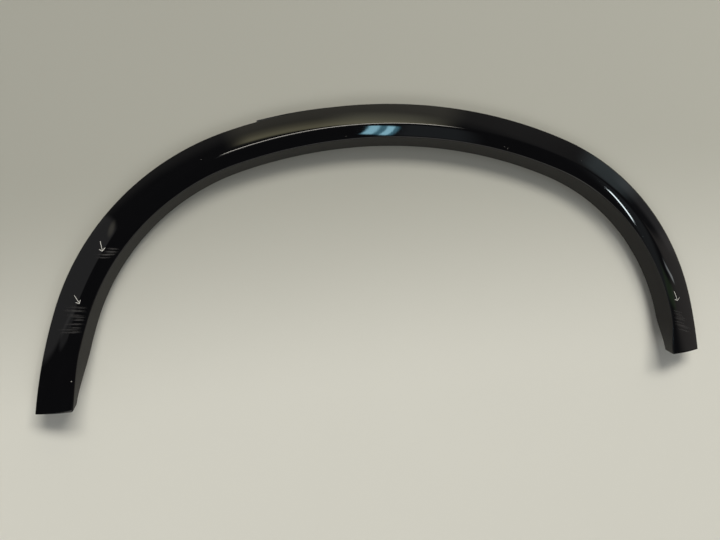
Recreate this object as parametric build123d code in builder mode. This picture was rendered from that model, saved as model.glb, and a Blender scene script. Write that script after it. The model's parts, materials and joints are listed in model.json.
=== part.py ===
"""Wheel arch trim, lying on its back with the gloss face up.

The arch line is the front edge of the lip, seen square to the body side. A section with a lip,
a creased face and an edge flange is carried along that line over a body side that curves from
front to back and leans in. Clip towers stand behind the face, and each one holds a push-in clip.
"""
import math
import os

from build123d import *

# Arch line, in millimetres and degrees, each side of the crown
CROWN_RADIUS = 600.0
CROWN_TURN = 20.2
SHOULDER_RADIUS = 293.0
SHOULDER_TURN = 53.1
LEG_RADIUS = 628.0
LEFT_LEG = 115.3
RIGHT_LEG = 62.7

# Body side that the trim follows
BODY_RADIUS = 5000.0
BODY_LEAN = 4.5

# Section, measured from the front edge of the lip
BAND_WIDTH = 42.0
OUTER_DROP = 12.4
CREASE_OFFSET = 17.0
CREASE_HEIGHT = 7.0
CREASE_HEIGHT_END = 1.5
CREASE_RADIUS = 3.0
CREASE_RADIUS_END = 45.0
CREASE_HOLDS = 230.0
LIP_DEPTH = 22.4
LIP_LEAN = 10.3
LIP_EDGE_RADIUS = 1.6
OUTER_EDGE_RADIUS = 1.4
FLANGE_DEPTH = 5.0
FLANGE_LEAN = 0.6
WALL = 2.5

# Ends: the cuts' angles from level, and how the lip runs out towards them
LEFT_CUT_ANGLE = 8.4
RIGHT_CUT_ANGLE = -2.5
END_WALL = 2.5
END_CORNER_RADIUS = 5.0
END_CORNER_ANGLE = 45.0
LEFT_RUN_OUT = 75.0
RIGHT_RUN_OUT = 55.0
LEFT_LIP_LOSS = 10.0
RIGHT_LIP_LOSS = 6.0
LEFT_FACE_GAIN = 3.9
RIGHT_FACE_GAIN = 7.2

# Raised stretch of the outer edge, left of the crown
TAB_START = -175.0
TAB_LENGTH = 87.0
TAB_REACH = 1.5
TAB_THICKNESS = 2.0

# Clip towers behind the face
CLIP_PITCH = 145.0
CLIPS_PER_SIDE = 4
CLIP_OFFSET = 18.0
SEAT_DEPTH = 15.5
SEAT_PLATE = 2.5
TOWER_LENGTH = 26.0
TOWER_WIDTH = 24.0
TOWER_WALL = 2.0

# Gussets between the lip and the face, in each bay between two clips
GUSSETS_PER_BAY = 2
GUSSET_THICKNESS = 1.5
GUSSET_REACH = 10.0

# Push-in clips
NECK_WIDTH = 7.2
SLOT_CLEARANCE = 0.2
HEAD_LENGTH = 15.0
HEAD_WIDTH = 13.0
HEAD_THICKNESS = 1.6
HEAD_PLAY = 0.2
COLLAR_RADIUS = 8.5
COLLAR_RIM = 0.8
COLLAR_DEPTH = 2.0
SHANK_RADIUS = 4.0
SHANK_LENGTH = 5.0
BLADE_THICKNESS = 4.0
BARB_DEPTH = 1.2
BARB_LENGTH = 3.0
BARB_COUNT = 2
TIP_WIDTH = 3.6
TIP_LENGTH = 2.5
SLIT_WIDTH = 1.2

# How finely the section is repeated along the arch, and how far tools run past their work
STATION_COUNT = 37
LOFT_OVERRUN = 60.0
OVERRUN = 24.0

crown_length = math.radians(CROWN_TURN) * CROWN_RADIUS
shoulder_length = math.radians(SHOULDER_TURN) * SHOULDER_RADIUS
left_end = -(crown_length + shoulder_length + LEFT_LEG)
right_end = crown_length + shoulder_length + RIGHT_LEG
leg_turn = math.degrees((max(LEFT_LEG, RIGHT_LEG) + LOFT_OVERRUN) / LEG_RADIUS)
lean_slope = math.tan(math.radians(BODY_LEAN))

with BuildLine() as half_arch:
    crown = JernArc((0, 0), (1, 0), CROWN_RADIUS, -CROWN_TURN)
    shoulder = JernArc(crown @ 1, crown % 1, SHOULDER_RADIUS, -SHOULDER_TURN)
    leg = JernArc(shoulder @ 1, shoulder % 1, LEG_RADIUS, -leg_turn)
half_wire = half_arch.wire()


def ease(share):
    """A smooth step from 0 to 1."""
    share = min(max(share, 0.0), 1.0)
    return share * share * (3.0 - 2.0 * share)


def blend(first, second, share):
    """A value part of the way from the first to the second."""
    return first + (second - first) * share


def arch_point(run):
    """Plan position on the arch line, at a run from the crown that is positive to the right."""
    point = half_wire.position_at(abs(run), position_mode=PositionMode.LENGTH)
    return Vector(math.copysign(point.X, run), point.Y)


def arch_out(run):
    """Plan direction that points away from the wheel, square to the arch line."""
    tangent = half_wire.tangent_at(abs(run), position_mode=PositionMode.LENGTH)
    return Vector(math.copysign(-tangent.Y, run), tangent.X)


def body_height(point):
    """Height of the body side's surface over a plan position."""
    return -point.X**2 / (2.0 * BODY_RADIUS) - lean_slope * point.Y


def section_plane(run):
    """Plane across the trim, with its x away from the wheel and its y out of the body side."""
    point = arch_point(run)
    out = arch_out(run)
    slope = -point.X * out.X / BODY_RADIUS - lean_slope * out.Y
    return Plane(
        origin=(point.X, point.Y, body_height(point)),
        x_dir=(out.X, out.Y, slope),
        z_dir=(out.Y, -out.X, 0),
    )


def run_out(run):
    """How much lip is lost and face is gained near an end."""
    left_share = 1.0 - ease((run - left_end) / LEFT_RUN_OUT)
    right_share = 1.0 - ease((right_end - run) / RIGHT_RUN_OUT)
    lip_loss = LEFT_LIP_LOSS * left_share + RIGHT_LIP_LOSS * right_share
    face_gain = LEFT_FACE_GAIN * left_share + RIGHT_FACE_GAIN * right_share
    return lip_loss, face_gain


def crease_fade(run):
    """0 where the crease is sharp, round the crown, to 1 where it has died away at the ends."""
    return ease((abs(run) - CREASE_HOLDS) / (right_end - CREASE_HOLDS))


def section_corners(run):
    """Sharp corners of the outer skin, from the lip's tip over the face to the flange's tip."""
    lip_loss, face_gain = run_out(run)
    height = blend(CREASE_HEIGHT, CREASE_HEIGHT_END, crease_fade(run))
    lip_depth = LIP_DEPTH - lip_loss
    return [
        (-LIP_LEAN * lip_depth / LIP_DEPTH, -lip_depth),
        (-face_gain, 0.0),
        (CREASE_OFFSET, height - OUTER_DROP * CREASE_OFFSET / BAND_WIDTH),
        (BAND_WIDTH, -OUTER_DROP),
        (BAND_WIDTH - FLANGE_LEAN, -OUTER_DROP - FLANGE_DEPTH),
    ]


def inset_corners(corners, depth):
    """The same corners, each side moved in by a depth, with both open ends run on behind."""
    sides = []
    for start, end in zip(corners, corners[1:]):
        along = (Vector(*end) - Vector(*start)).normalized()
        inward = Vector(along.Y, -along.X)
        sides.append((Vector(*start) + inward * depth, along))
    inner = [sides[0][0] - sides[0][1] * OVERRUN]
    for (point, along), (next_point, next_along) in zip(sides, sides[1:]):
        gap = next_point - point
        reach = (gap.X * next_along.Y - gap.Y * next_along.X) / (along.X * next_along.Y - along.Y * next_along.X)
        inner.append(point + along * reach)
    last_side = Vector(*corners[-1]) - Vector(*corners[-2])
    inner.append(sides[-1][0] + sides[-1][1] * (last_side.length + OVERRUN))
    return inner


def section_face(run, depth):
    """Sketch of the filled section at one station, moved in by a depth from the outer skin."""
    corners = section_corners(run)
    crease_radius = blend(CREASE_RADIUS, CREASE_RADIUS_END, crease_fade(run))
    radii = [LIP_EDGE_RADIUS, crease_radius, OUTER_EDGE_RADIUS]
    if depth > 0:
        corners = inset_corners(corners, depth)
        radii = [0, crease_radius, 0]
    with BuildSketch(section_plane(run)) as section:
        with BuildLine():
            FilletPolyline(*corners, radius=radii)
            Line(corners[-1], corners[0])
        make_face()
    return section


def end_cutter_plane(end, cut_angle):
    """Level plane at an end, with its x out along the cut and its y into the trim."""
    side = math.copysign(1.0, end)
    turn = math.radians(cut_angle)
    point = arch_point(end)
    return Plane(
        origin=(point.X, point.Y, body_height(point)),
        x_dir=(side * math.cos(turn), -math.sin(turn), 0),
        z_dir=(0, 0, side),
    )


def moulding_form(depth, end_inset):
    """Filled form of the moulding, moved in from the outer skin and from the end cuts."""
    reach = 2.0 * BAND_WIDTH
    turn = math.radians(END_CORNER_ANGLE)
    with BuildPart() as form:
        for station in stations:
            add(section_face(station, depth).sketch)
        loft()
        for end, cut_angle, face_gain in end_cuts:
            corner = end_inset * math.tan(turn / 2.0) - face_gain
            with BuildSketch(end_cutter_plane(end, cut_angle)):
                with BuildLine():
                    edge = FilletPolyline(
                        (reach, end_inset),
                        (corner, end_inset),
                        (corner - reach * math.cos(turn), end_inset + reach * math.sin(turn)),
                        radius=END_CORNER_RADIUS,
                    )
                    Polyline(edge @ 1, (-2.0 * reach, -reach), (reach, -reach), edge @ 0)
                make_face()
            extrude(amount=reach, both=True, mode=Mode.SUBTRACT)
    return form


def clip_plane(run):
    """Level plane at a clip's seat, with its x along the arch line and its z up."""
    out = arch_out(run)
    point = arch_point(run) + out * CLIP_OFFSET
    return Plane(
        origin=(point.X, point.Y, body_height(point) - SEAT_DEPTH),
        x_dir=(out.Y, -out.X, 0),
        z_dir=(0, 0, 1),
    )


def clip_tower(run):
    """Three walls up into the thickness of the face, and a seat plate that a clip slides into."""
    slot_width = NECK_WIDTH + 2.0 * SLOT_CLEARANCE
    with BuildPart() as tower:
        with BuildSketch(clip_plane(run)):
            Rectangle(TOWER_LENGTH, TOWER_WIDTH)
            with Locations((TOWER_WALL, 0)):
                Rectangle(TOWER_LENGTH, TOWER_WIDTH - 2.0 * TOWER_WALL, mode=Mode.SUBTRACT)
        extrude(amount=SEAT_DEPTH + CREASE_HEIGHT)
        with BuildSketch(clip_plane(run)):
            Rectangle(TOWER_LENGTH, TOWER_WIDTH)
            with Locations((-slot_width / 2.0, 0)):
                Rectangle(TOWER_LENGTH, slot_width, align=(Align.MIN, Align.CENTER), mode=Mode.SUBTRACT)
        extrude(amount=SEAT_PLATE)
        with BuildSketch(section_plane(run)):
            with BuildLine():
                Polyline(*inset_corners(section_corners(run), WALL / 2.0), close=True)
            make_face()
        extrude(amount=TOWER_LENGTH, both=True, mode=Mode.INTERSECT)
    return tower


def lip_gusset(run):
    """Thin triangular rib in the corner between the lip and the face, from mid-wall to mid-wall."""
    lip_back, corner, crease = inset_corners(section_corners(run), WALL / 2.0)[:3]
    lip_foot = corner + (lip_back - corner).normalized() * GUSSET_REACH
    face_foot = corner + (crease - corner).normalized() * GUSSET_REACH
    with BuildPart() as gusset:
        with BuildSketch(section_plane(run)):
            with BuildLine():
                Polyline(corner, lip_foot, face_foot, close=True)
            make_face()
        extrude(amount=GUSSET_THICKNESS / 2.0, both=True)
    return gusset


end_cuts = [
    (left_end, LEFT_CUT_ANGLE, LEFT_FACE_GAIN),
    (right_end, RIGHT_CUT_ANGLE, RIGHT_FACE_GAIN),
]
station_gap = (right_end - left_end + 2.0 * LOFT_OVERRUN) / (STATION_COUNT - 1)
stations = [left_end - LOFT_OVERRUN + station_gap * index for index in range(STATION_COUNT)]
clip_runs = [(index - CLIPS_PER_SIDE + 0.5) * CLIP_PITCH for index in range(2 * CLIPS_PER_SIDE)]
gusset_runs = [
    blend(first, second, (index + 1) / (GUSSETS_PER_BAY + 1))
    for first, second in zip(clip_runs, clip_runs[1:])
    for index in range(GUSSETS_PER_BAY)
]

outer_form = moulding_form(0.0, 0.0)
inner_space = moulding_form(WALL, END_WALL)
towers = [clip_tower(run).part for run in clip_runs]
gussets = [lip_gusset(run).part for run in gusset_runs]

# The moulding: one thin shell with its end walls, towers, gussets and edge tab
with BuildPart() as trim:
    add(outer_form.part)
    add(inner_space.part, mode=Mode.SUBTRACT)
    add(towers)
    add(gussets)
    tab_runs = [TAB_START + TAB_LENGTH * share for share in (0.0, 0.5, 1.0)]
    tab_level = -OUTER_DROP - OUTER_EDGE_RADIUS
    tab_outer = [
        section_plane(run).from_local_coords((BAND_WIDTH + TAB_REACH * (1.0 - share), tab_level))
        for run, share in zip(tab_runs, (0.0, 0.5, 1.0))
    ]
    tab_inner = [section_plane(run).from_local_coords((BAND_WIDTH - WALL / 2.0, tab_level)) for run in tab_runs]
    with BuildSketch(Plane.XY.offset(tab_outer[1].Z)):
        with BuildLine():
            outer_line = ThreePointArc(*[(point.X, point.Y) for point in tab_outer])
            inner_line = ThreePointArc(*[(point.X, point.Y) for point in tab_inner])
            Line(outer_line @ 0, inner_line @ 0)
            Line(outer_line @ 1, inner_line @ 1)
        make_face()
    extrude(amount=-TAB_THICKNESS)

# One push-in clip with its seat at the origin: a head and neck that slide into the tower, a round collar and
# shank, and a slit blade with barbs
blade_top = -COLLAR_DEPTH - SHANK_LENGTH
blade_end = blade_top - BARB_COUNT * BARB_LENGTH - TIP_LENGTH
blade_reach = math.sqrt(SHANK_RADIUS**2 - (BLADE_THICKNESS / 2.0) ** 2)
with BuildPart() as clip:
    with BuildSketch():
        Rectangle(NECK_WIDTH, NECK_WIDTH)
    extrude(amount=SEAT_PLATE + HEAD_PLAY)
    with BuildSketch(Plane.XY.offset(SEAT_PLATE + HEAD_PLAY)):
        Rectangle(HEAD_LENGTH, HEAD_WIDTH)
    extrude(amount=HEAD_THICKNESS)
    with BuildSketch(Plane.XZ):
        with BuildLine():
            Polyline(
                (0, 0),
                (COLLAR_RADIUS, 0),
                (COLLAR_RADIUS, -COLLAR_RIM),
                (SHANK_RADIUS, -COLLAR_DEPTH),
                (SHANK_RADIUS, blade_top),
                (0, blade_top),
                close=True,
            )
        make_face()
    revolve(axis=Axis.Z)
    with BuildSketch(Plane.XZ):
        with BuildLine():
            side = [(0, blade_top), (blade_reach, blade_top)]
            for barb in range(BARB_COUNT):
                barb_end = blade_top - (barb + 1) * BARB_LENGTH
                side += [(blade_reach - BARB_DEPTH, barb_end), (blade_reach, barb_end)]
            side += [(TIP_WIDTH / 2.0, blade_end), (0, blade_end)]
            Polyline(*side, close=True)
        make_face()
        mirror(about=Plane.YZ)
        with Locations((0, (blade_top + blade_end) / 2.0)):
            Rectangle(SLIT_WIDTH, blade_top - blade_end, mode=Mode.SUBTRACT)
    extrude(amount=BLADE_THICKNESS / 2.0, both=True)

# All the clips, each in its tower
with BuildPart() as clips:
    with Locations(*[clip_plane(run).location for run in clip_runs]):
        add(clip.part)

# Lie the trim on its clips, over the middle of its own outline
boxes = [trim.part.bounding_box(), clips.part.bounding_box()]
low = Vector(*[min(tuple(box.min)[axis] for box in boxes) for axis in range(3)])
high = Vector(*[max(tuple(box.max)[axis] for box in boxes) for axis in range(3)])
rest = Location((-(low.X + high.X) / 2.0, -(low.Y + high.Y) / 2.0, -low.Z))

os.makedirs("parts", exist_ok=True)
arch_trim = trim.part.moved(rest)
arch_trim.label = "arch_trim"
export_step(arch_trim, "parts/arch_trim.step")
retaining_clips = clips.part.moved(rest)
retaining_clips.label = "retaining_clips"
export_step(retaining_clips, "parts/retaining_clips.step")
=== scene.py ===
"""Wheel arch trim: its looks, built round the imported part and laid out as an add-on."""

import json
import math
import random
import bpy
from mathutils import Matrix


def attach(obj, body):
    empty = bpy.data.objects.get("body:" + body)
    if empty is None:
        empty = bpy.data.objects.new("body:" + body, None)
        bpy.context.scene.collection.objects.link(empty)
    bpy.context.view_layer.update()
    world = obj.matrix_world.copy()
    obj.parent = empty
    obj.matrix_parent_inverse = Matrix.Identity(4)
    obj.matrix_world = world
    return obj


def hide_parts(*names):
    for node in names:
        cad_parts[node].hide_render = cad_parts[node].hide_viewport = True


bl_info = {
    "name": "Wheel Arch Trim",
    "version": (1, 0, 0),
    "blender": (4, 5, 0),
    "location": "View3D > Sidebar > Arch Trim",
    "description": "Builds a gloss black wheel arch trim, its clips, its wear and its stage",
    "category": "Add Mesh",
}

from collections import namedtuple

import bmesh
import bpy
from bpy.props import FloatProperty, FloatVectorProperty, IntProperty, PointerProperty
from mathutils import Matrix, Vector

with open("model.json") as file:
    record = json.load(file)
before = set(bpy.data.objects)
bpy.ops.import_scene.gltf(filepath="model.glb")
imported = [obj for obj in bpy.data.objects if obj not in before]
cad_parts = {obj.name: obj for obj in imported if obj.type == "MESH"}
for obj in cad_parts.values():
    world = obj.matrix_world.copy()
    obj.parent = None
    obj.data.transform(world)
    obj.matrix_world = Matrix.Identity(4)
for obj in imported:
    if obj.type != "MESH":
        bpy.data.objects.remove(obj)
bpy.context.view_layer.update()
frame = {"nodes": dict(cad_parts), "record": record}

BODY = "root"
TRIM_NODE = "arch_trim"
CLIPS_NODE = "retaining_clips"
MM = 0.001
# The camera: the photograph's width in pixels, the sensor's in millimetres, the nearest view in metres
PHOTO_WIDTH = 720
SENSOR_WIDTH = 36.0
CLIP_START = 0.01

# Which finish each stretch of the section takes, in the order of the moulding's material slots
GLOSS, GRAIN, BACK = range(3)


def size(name, description, default):
    """A length that a user may change."""
    return FloatProperty(name=name, description=description, default=default, unit="LENGTH", precision=4)


def angle(name, description, degrees):
    """An angle that a user may change."""
    return FloatProperty(name=name, description=description, default=math.radians(degrees), subtype="ANGLE")


def colour(name, description, default):
    """A colour that a user may change."""
    return FloatVectorProperty(
        name=name, description=description, default=default, subtype="COLOR", size=3, min=0.0, max=1.0
    )


class ArchSizes(bpy.types.PropertyGroup):
    """Sizes of the moulding, as in the part."""

    crown_radius: size("Crown Radius", "Radius of the arch line over the crown", 0.600)
    crown_turn: angle("Crown Turn", "Turn of the arch line from the crown to the shoulder", 20.2)
    shoulder_radius: size("Shoulder Radius", "Radius of the arch line round the shoulder", 0.293)
    shoulder_turn: angle("Shoulder Turn", "Turn of the arch line round the shoulder", 53.1)
    leg_radius: size("Leg Radius", "Radius of the arch line down the leg", 0.628)
    left_leg: size("Left Leg", "Length of the left leg's arc", 0.1153)
    right_leg: size("Right Leg", "Length of the right leg's arc", 0.0627)
    body_radius: size("Body Radius", "Bow of the body side from front to back", 5.0)
    body_lean: angle("Body Lean", "Lean of the body side", 4.5)
    band_width: size("Band Width", "Width of the face", 0.042)
    outer_drop: size("Outer Drop", "Drop of the outer edge below the lip's front", 0.0124)
    crease_offset: size("Crease Offset", "Place of the crease across the face", 0.017)
    crease_height: size("Crease Height", "Height of the crease at the crown", 0.007)
    crease_height_end: size("Crease End Height", "Height of the crease at the ends", 0.0015)
    crease_radius: size("Crease Radius", "Rounding of the crease at the crown", 0.003)
    crease_radius_end: size("Crease End Radius", "Rounding of the crease at the ends", 0.045)
    crease_holds: size("Crease Holds", "Run from the crown over which the crease stays sharp", 0.230)
    upper_swell: size("Upper Swell", "Crowning of the face above the crease", 0.00045)
    lower_swell: size("Lower Swell", "Crowning of the face below the crease at the crown", 0.00008)
    lower_swell_end: size("Lower End Swell", "Crowning of that face past the shoulders", 0.00036)
    swell_holds: size("Swell Holds", "Run from the crown over which that crowning holds", 0.150)
    swell_growth: size("Swell Growth", "Length over which that crowning then grows", 0.150)
    lip_depth: size("Lip Depth", "Depth of the lip", 0.0224)
    lip_lean: size("Lip Lean", "How far the lip leans in over its depth", 0.0103)
    lip_edge_radius: size("Lip Edge Radius", "Rounding between the lip and the face", 0.0016)
    outer_edge_radius: size("Outer Edge Radius", "Rounding between the face and the flange", 0.0014)
    flange_depth: size("Flange Depth", "Depth of the edge flange", 0.005)
    flange_lean: size("Flange Lean", "How far the flange leans in", 0.0006)
    wall: size("Wall", "Thickness of the moulding", 0.0025)
    end_wall: size("End Wall", "Thickness of the end walls", 0.0025)
    end_corner_radius: size("End Corner Radius", "Rounding of the end's corner at the lip", 0.005)
    end_corner_angle: angle("End Corner Angle", "Slope of the lip's end", 45.0)
    end_edge_radius: size("End Edge Radius", "Softness of the end cuts' edges", 0.0007)
    left_cut: angle("Left Cut", "Angle of the left end cut", 8.4)
    right_cut: angle("Right Cut", "Angle of the right end cut", -2.5)
    left_run_out: size("Left Run Out", "Length over which the lip runs out on the left", 0.075)
    right_run_out: size("Right Run Out", "Length over which the lip runs out on the right", 0.055)
    left_lip_loss: size("Left Lip Loss", "Lip lost at the left end", 0.010)
    right_lip_loss: size("Right Lip Loss", "Lip lost at the right end", 0.006)
    left_face_gain: size("Left Face Gain", "Face gained at the left end", 0.0039)
    right_face_gain: size("Right Face Gain", "Face gained at the right end", 0.0072)
    tab_start: size("Tab Start", "Start of the raised stretch of the outer edge", -0.175)
    tab_length: size("Tab Length", "Length of the raised stretch", 0.087)
    tab_reach: size("Tab Reach", "How far the raised stretch stands out at its start", 0.0015)
    tab_thickness: size("Tab Thickness", "Thickness of the raised stretch", 0.002)
    clip_pitch: size("Clip Pitch", "Spacing of the clips along the arch line", 0.145)
    clips_per_side: IntProperty(
        name="Clips Per Side", description="Clips each side of the crown", default=4, min=1
    )
    clip_offset: size("Clip Offset", "Place of the clips across the face", 0.018)
    seat_depth: size("Seat Depth", "Depth of a clip's seat behind the lip's front", 0.0155)
    seat_plate: size("Seat Plate", "Thickness of a tower's seat plate", 0.0025)
    tower_length: size("Tower Length", "Length of a clip tower along the arch", 0.026)
    tower_width: size("Tower Width", "Width of a clip tower across the arch", 0.024)
    tower_wall: size("Tower Wall", "Thickness of a tower's walls", 0.002)
    slot_width: size("Slot Width", "Width of the slot that a clip's neck slides into", 0.0076)
    shank_middle: size("Shank Middle", "Middle of a clip's shank below its seat", 0.0045)
    gussets_per_bay: IntProperty(name="Gussets", description="Gussets between two clips", default=2, min=0)
    gusset_thickness: size("Gusset Thickness", "Thickness of a lip gusset", 0.0015)
    gusset_reach: size("Gusset Reach", "Length of a gusset along the lip and the face", 0.010)
    pen_width: size("Pen Width", "Width of a pen stroke", 0.0013)
    pen_height: size("Pen Height", "Thickness of a pen stroke's paint", 0.00004)
    scratch_width: size("Scratch Width", "Width of a hairline scratch", 0.00034)
    scratch_height: size("Scratch Height", "Height of a scratch's torn edge", 0.00002)
    speck_radius: size("Speck Radius", "Radius of a dust speck", 0.00038)


class TrimFinishes(bpy.types.PropertyGroup):
    """Colours of the trim's finishes."""

    gloss_black: colour("Gloss Black", "Colour of the gloss face", (0.0016, 0.0016, 0.0019))
    grained_lip: colour("Grained Lip", "Colour of the matt lip", (0.011, 0.0102, 0.0096))
    plain_back: colour("Plain Back", "Colour of the moulding's back", (0.016, 0.016, 0.0165))
    nylon: colour("Nylon", "Colour of the clips", (0.66, 0.63, 0.55))
    pen_white: colour("Pen White", "Colour of the pen marks", (0.80, 0.80, 0.78))
    scratch_grey: colour("Scratch Grey", "Colour of the scratches", (0.029, 0.0276, 0.029))
    dust: colour("Dust", "Colour of the dust specks", (0.40, 0.39, 0.37))
    paper: colour("Paper", "Colour of the surface that the trim lies on", (0.73, 0.738, 0.70))
    # Paper colour behind the trim, darker as a painted shade for the duller light there
    far_paper_painted_shade: colour("Far Paper", "Colour of that surface behind the trim", (0.455, 0.462, 0.424))


class StageSettings(bpy.types.PropertyGroup):
    """The camera, which stands where the photograph was taken from, and the light."""

    camera_eye: FloatVectorProperty(
        name="Camera Eye", description="Where the camera stands", default=(-0.3085, 0.2111, 1.1958),
        subtype="TRANSLATION", unit="LENGTH",
    )
    camera_target: FloatVectorProperty(
        name="Camera Target", description="What the camera looks at", default=(-0.0485, -0.0153, 0.0341),
        subtype="TRANSLATION", unit="LENGTH",
    )
    camera_roll: angle("Camera Roll", "Turn of the camera about its own axis", -2.04)
    focal_pixels: FloatProperty(
        name="Focal Length", description="Focal length in pixels of a 720 pixel wide frame", default=954.7
    )
    room_light: colour("Room Light", "Even light from all round", (0.045, 0.046, 0.052))


def settings():
    """The scene's property groups: sizes, finishes and stage."""
    scene = bpy.context.scene
    return scene.arch_sizes, scene.trim_finishes, scene.stage_settings


# The arch line and the section that is carried along it


def ease(share):
    """A smooth step from 0 to 1."""
    share = min(max(share, 0.0), 1.0)
    return share * share * (3.0 - 2.0 * share)


def blend(first, second, share):
    """A value part of the way from the first to the second."""
    return first + (second - first) * share


def arch_ends(sizes):
    """Runs of the left and right ends from the crown."""
    half = sizes.crown_radius * sizes.crown_turn + sizes.shoulder_radius * sizes.shoulder_turn
    return -(half + sizes.left_leg), half + sizes.right_leg


def arch_at(sizes, run):
    """Plan position on the arch line, and the direction away from the wheel there."""
    stretches = (
        (sizes.crown_radius, sizes.crown_radius * sizes.crown_turn),
        (sizes.shoulder_radius, sizes.shoulder_radius * sizes.shoulder_turn),
        (sizes.leg_radius, math.inf),
    )
    rest = abs(run)
    side = math.copysign(1.0, run)
    x = y = turn = 0.0
    for radius, stretch in stretches:
        step = min(rest, stretch)
        next_turn = turn + step / radius
        x += radius * (math.sin(next_turn) - math.sin(turn))
        y += radius * (math.cos(next_turn) - math.cos(turn))
        turn = next_turn
        rest -= step
    return Vector((side * x, y, 0.0)), Vector((side * math.sin(turn), math.cos(turn), 0.0))


def body_height(sizes, point):
    """Height of the body side's surface over a plan position."""
    return -point.x**2 / (2.0 * sizes.body_radius) - math.tan(sizes.body_lean) * point.y


def clip_seat(sizes, run):
    """Where a clip seats, from the crown of the arch line."""
    point, out = arch_at(sizes, run)
    seat = point + out * sizes.clip_offset
    seat.z = body_height(sizes, seat) - sizes.seat_depth
    return seat


def arch_origin(sizes):
    """Where the crown of the arch line lies in the part's frame, from the clip beside it."""
    mounts = {mount["name"]: Vector(mount["pos_m"]) for mount in frame["record"]["mounts"]}
    middle = mounts["left_crown_clip"] + Vector((0.0, 0.0, sizes.shank_middle))
    return middle - clip_seat(sizes, -sizes.clip_pitch / 2.0)


class SectionFrame:
    """Plane across the trim at a run: across points away from the wheel, rise out of the body side."""

    def __init__(self, sizes, run):
        point, out = arch_at(sizes, run)
        slope = -point.x * out.x / sizes.body_radius - math.tan(sizes.body_lean) * out.y
        self.origin = Vector((point.x, point.y, body_height(sizes, point))) + arch_origin(sizes)
        self.out = out
        self.along = Vector((out.y, -out.x, 0.0))
        self.across = Vector((out.x, out.y, slope)).normalized()
        self.rise = self.along.cross(self.across)

    def place(self, spot):
        """World position of a spot on the section."""
        return self.origin + self.across * spot[0] + self.rise * spot[1]


def run_out(sizes, run):
    """How much lip is lost and face is gained near an end."""
    left_end, right_end = arch_ends(sizes)
    left_share = 1.0 - ease((run - left_end) / sizes.left_run_out)
    right_share = 1.0 - ease((right_end - run) / sizes.right_run_out)
    lip_loss = sizes.left_lip_loss * left_share + sizes.right_lip_loss * right_share
    face_gain = sizes.left_face_gain * left_share + sizes.right_face_gain * right_share
    return lip_loss, face_gain


def crease_fade(sizes, run):
    """0 where the crease is sharp, round the crown, to 1 where it has died away at the ends."""
    right_end = arch_ends(sizes)[1]
    return ease((abs(run) - sizes.crease_holds) / (right_end - sizes.crease_holds))


def crease_rounding(sizes, run):
    """Radius of the crease, which grows as the crease dies away."""
    return blend(sizes.crease_radius, sizes.crease_radius_end, crease_fade(sizes, run))


def section_corners(sizes, run):
    """Sharp corners of the outer skin, from the lip's tip over the face to the flange's tip."""
    lip_loss, face_gain = run_out(sizes, run)
    height = blend(sizes.crease_height, sizes.crease_height_end, crease_fade(sizes, run))
    lip_depth = sizes.lip_depth - lip_loss
    crease_drop = sizes.outer_drop * sizes.crease_offset / sizes.band_width
    return [
        Vector((-sizes.lip_lean * lip_depth / sizes.lip_depth, -lip_depth)),
        Vector((-face_gain, 0.0)),
        Vector((sizes.crease_offset, height - crease_drop)),
        Vector((sizes.band_width, -sizes.outer_drop)),
        Vector((sizes.band_width - sizes.flange_lean, -sizes.outer_drop - sizes.flange_depth)),
    ]


def crossing(point, along, other, other_along):
    """Where two lines of the section cross."""
    gap = other - point
    turn = along.x * other_along.y - along.y * other_along.x
    return point + along * ((gap.x * other_along.y - gap.y * other_along.x) / turn)


def inset_corners(corners, depth):
    """The same corners, each side moved in by a depth, both open ends on the line that closes the back."""
    sides = []
    for start, end in zip(corners, corners[1:]):
        along = (end - start).normalized()
        sides.append((start + Vector((along.y, -along.x)) * depth, along))
    back = corners[-1] - corners[0]
    inner = [crossing(*sides[0], corners[0], back)]
    for first, second in zip(sides, sides[1:]):
        inner.append(crossing(*first, *second))
    inner.append(crossing(*sides[-1], corners[0], back))
    return inner


def crowned(start, end, lean, steps):
    """Points after the start along a side that leaves its chord by an angle at both ends."""
    chord = end - start
    outward = Vector((-chord.y, chord.x)) * math.tan(lean)
    shares = [step / steps for step in range(1, steps + 1)]
    return [start + chord * share + outward * (share * (1.0 - share)) for share in shares]


def rounded(corners, radii, straight_steps, round_steps, swells):
    """Points along a path with crowned sides and rounded corners, always as many, for a mesh's columns."""
    sides = [end - start for start, end in zip(corners, corners[1:])]
    # A parabola leaves its chord with a slope of four times its height over the chord's length
    leans = [math.atan2(4.0 * height, side.length) for side, height in zip(sides, swells)]
    points = [corners[0].copy()]
    for index, radius in enumerate(radii):
        corner = corners[index + 1]
        before = Matrix.Rotation(-leans[index], 2) @ sides[index].normalized()
        after = Matrix.Rotation(leans[index + 1], 2) @ sides[index + 1].normalized()
        turn = before.angle_signed(after)
        entry = corner - before * (radius * math.tan(abs(turn) / 2.0))
        points += crowned(points[-1], entry, leans[index], straight_steps[index])
        inward = Vector((before.y, -before.x)) * math.copysign(1.0, turn)
        centre = entry + inward * radius
        for step in range(1, round_steps[index] + 1):
            share = turn * step / round_steps[index]
            points.append(centre + Matrix.Rotation(-share, 2) @ (entry - centre))
    return points + crowned(points[-1], corners[-1], leans[-1], straight_steps[-1])


# Mesh columns over the sides and corners of the outer and inner skins, from the lip to the flange
OUTER_STRAIGHTS = (9, 10, 14, 3)
OUTER_ROUNDS = (6, 8, 6)
INNER_STRAIGHTS = (4, 4, 6, 2)
INNER_ROUNDS = (0, 4, 0)
LIP_COLUMNS = OUTER_STRAIGHTS[0]
OUTER_COLUMNS = sum(OUTER_STRAIGHTS) + sum(OUTER_ROUNDS)


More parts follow.
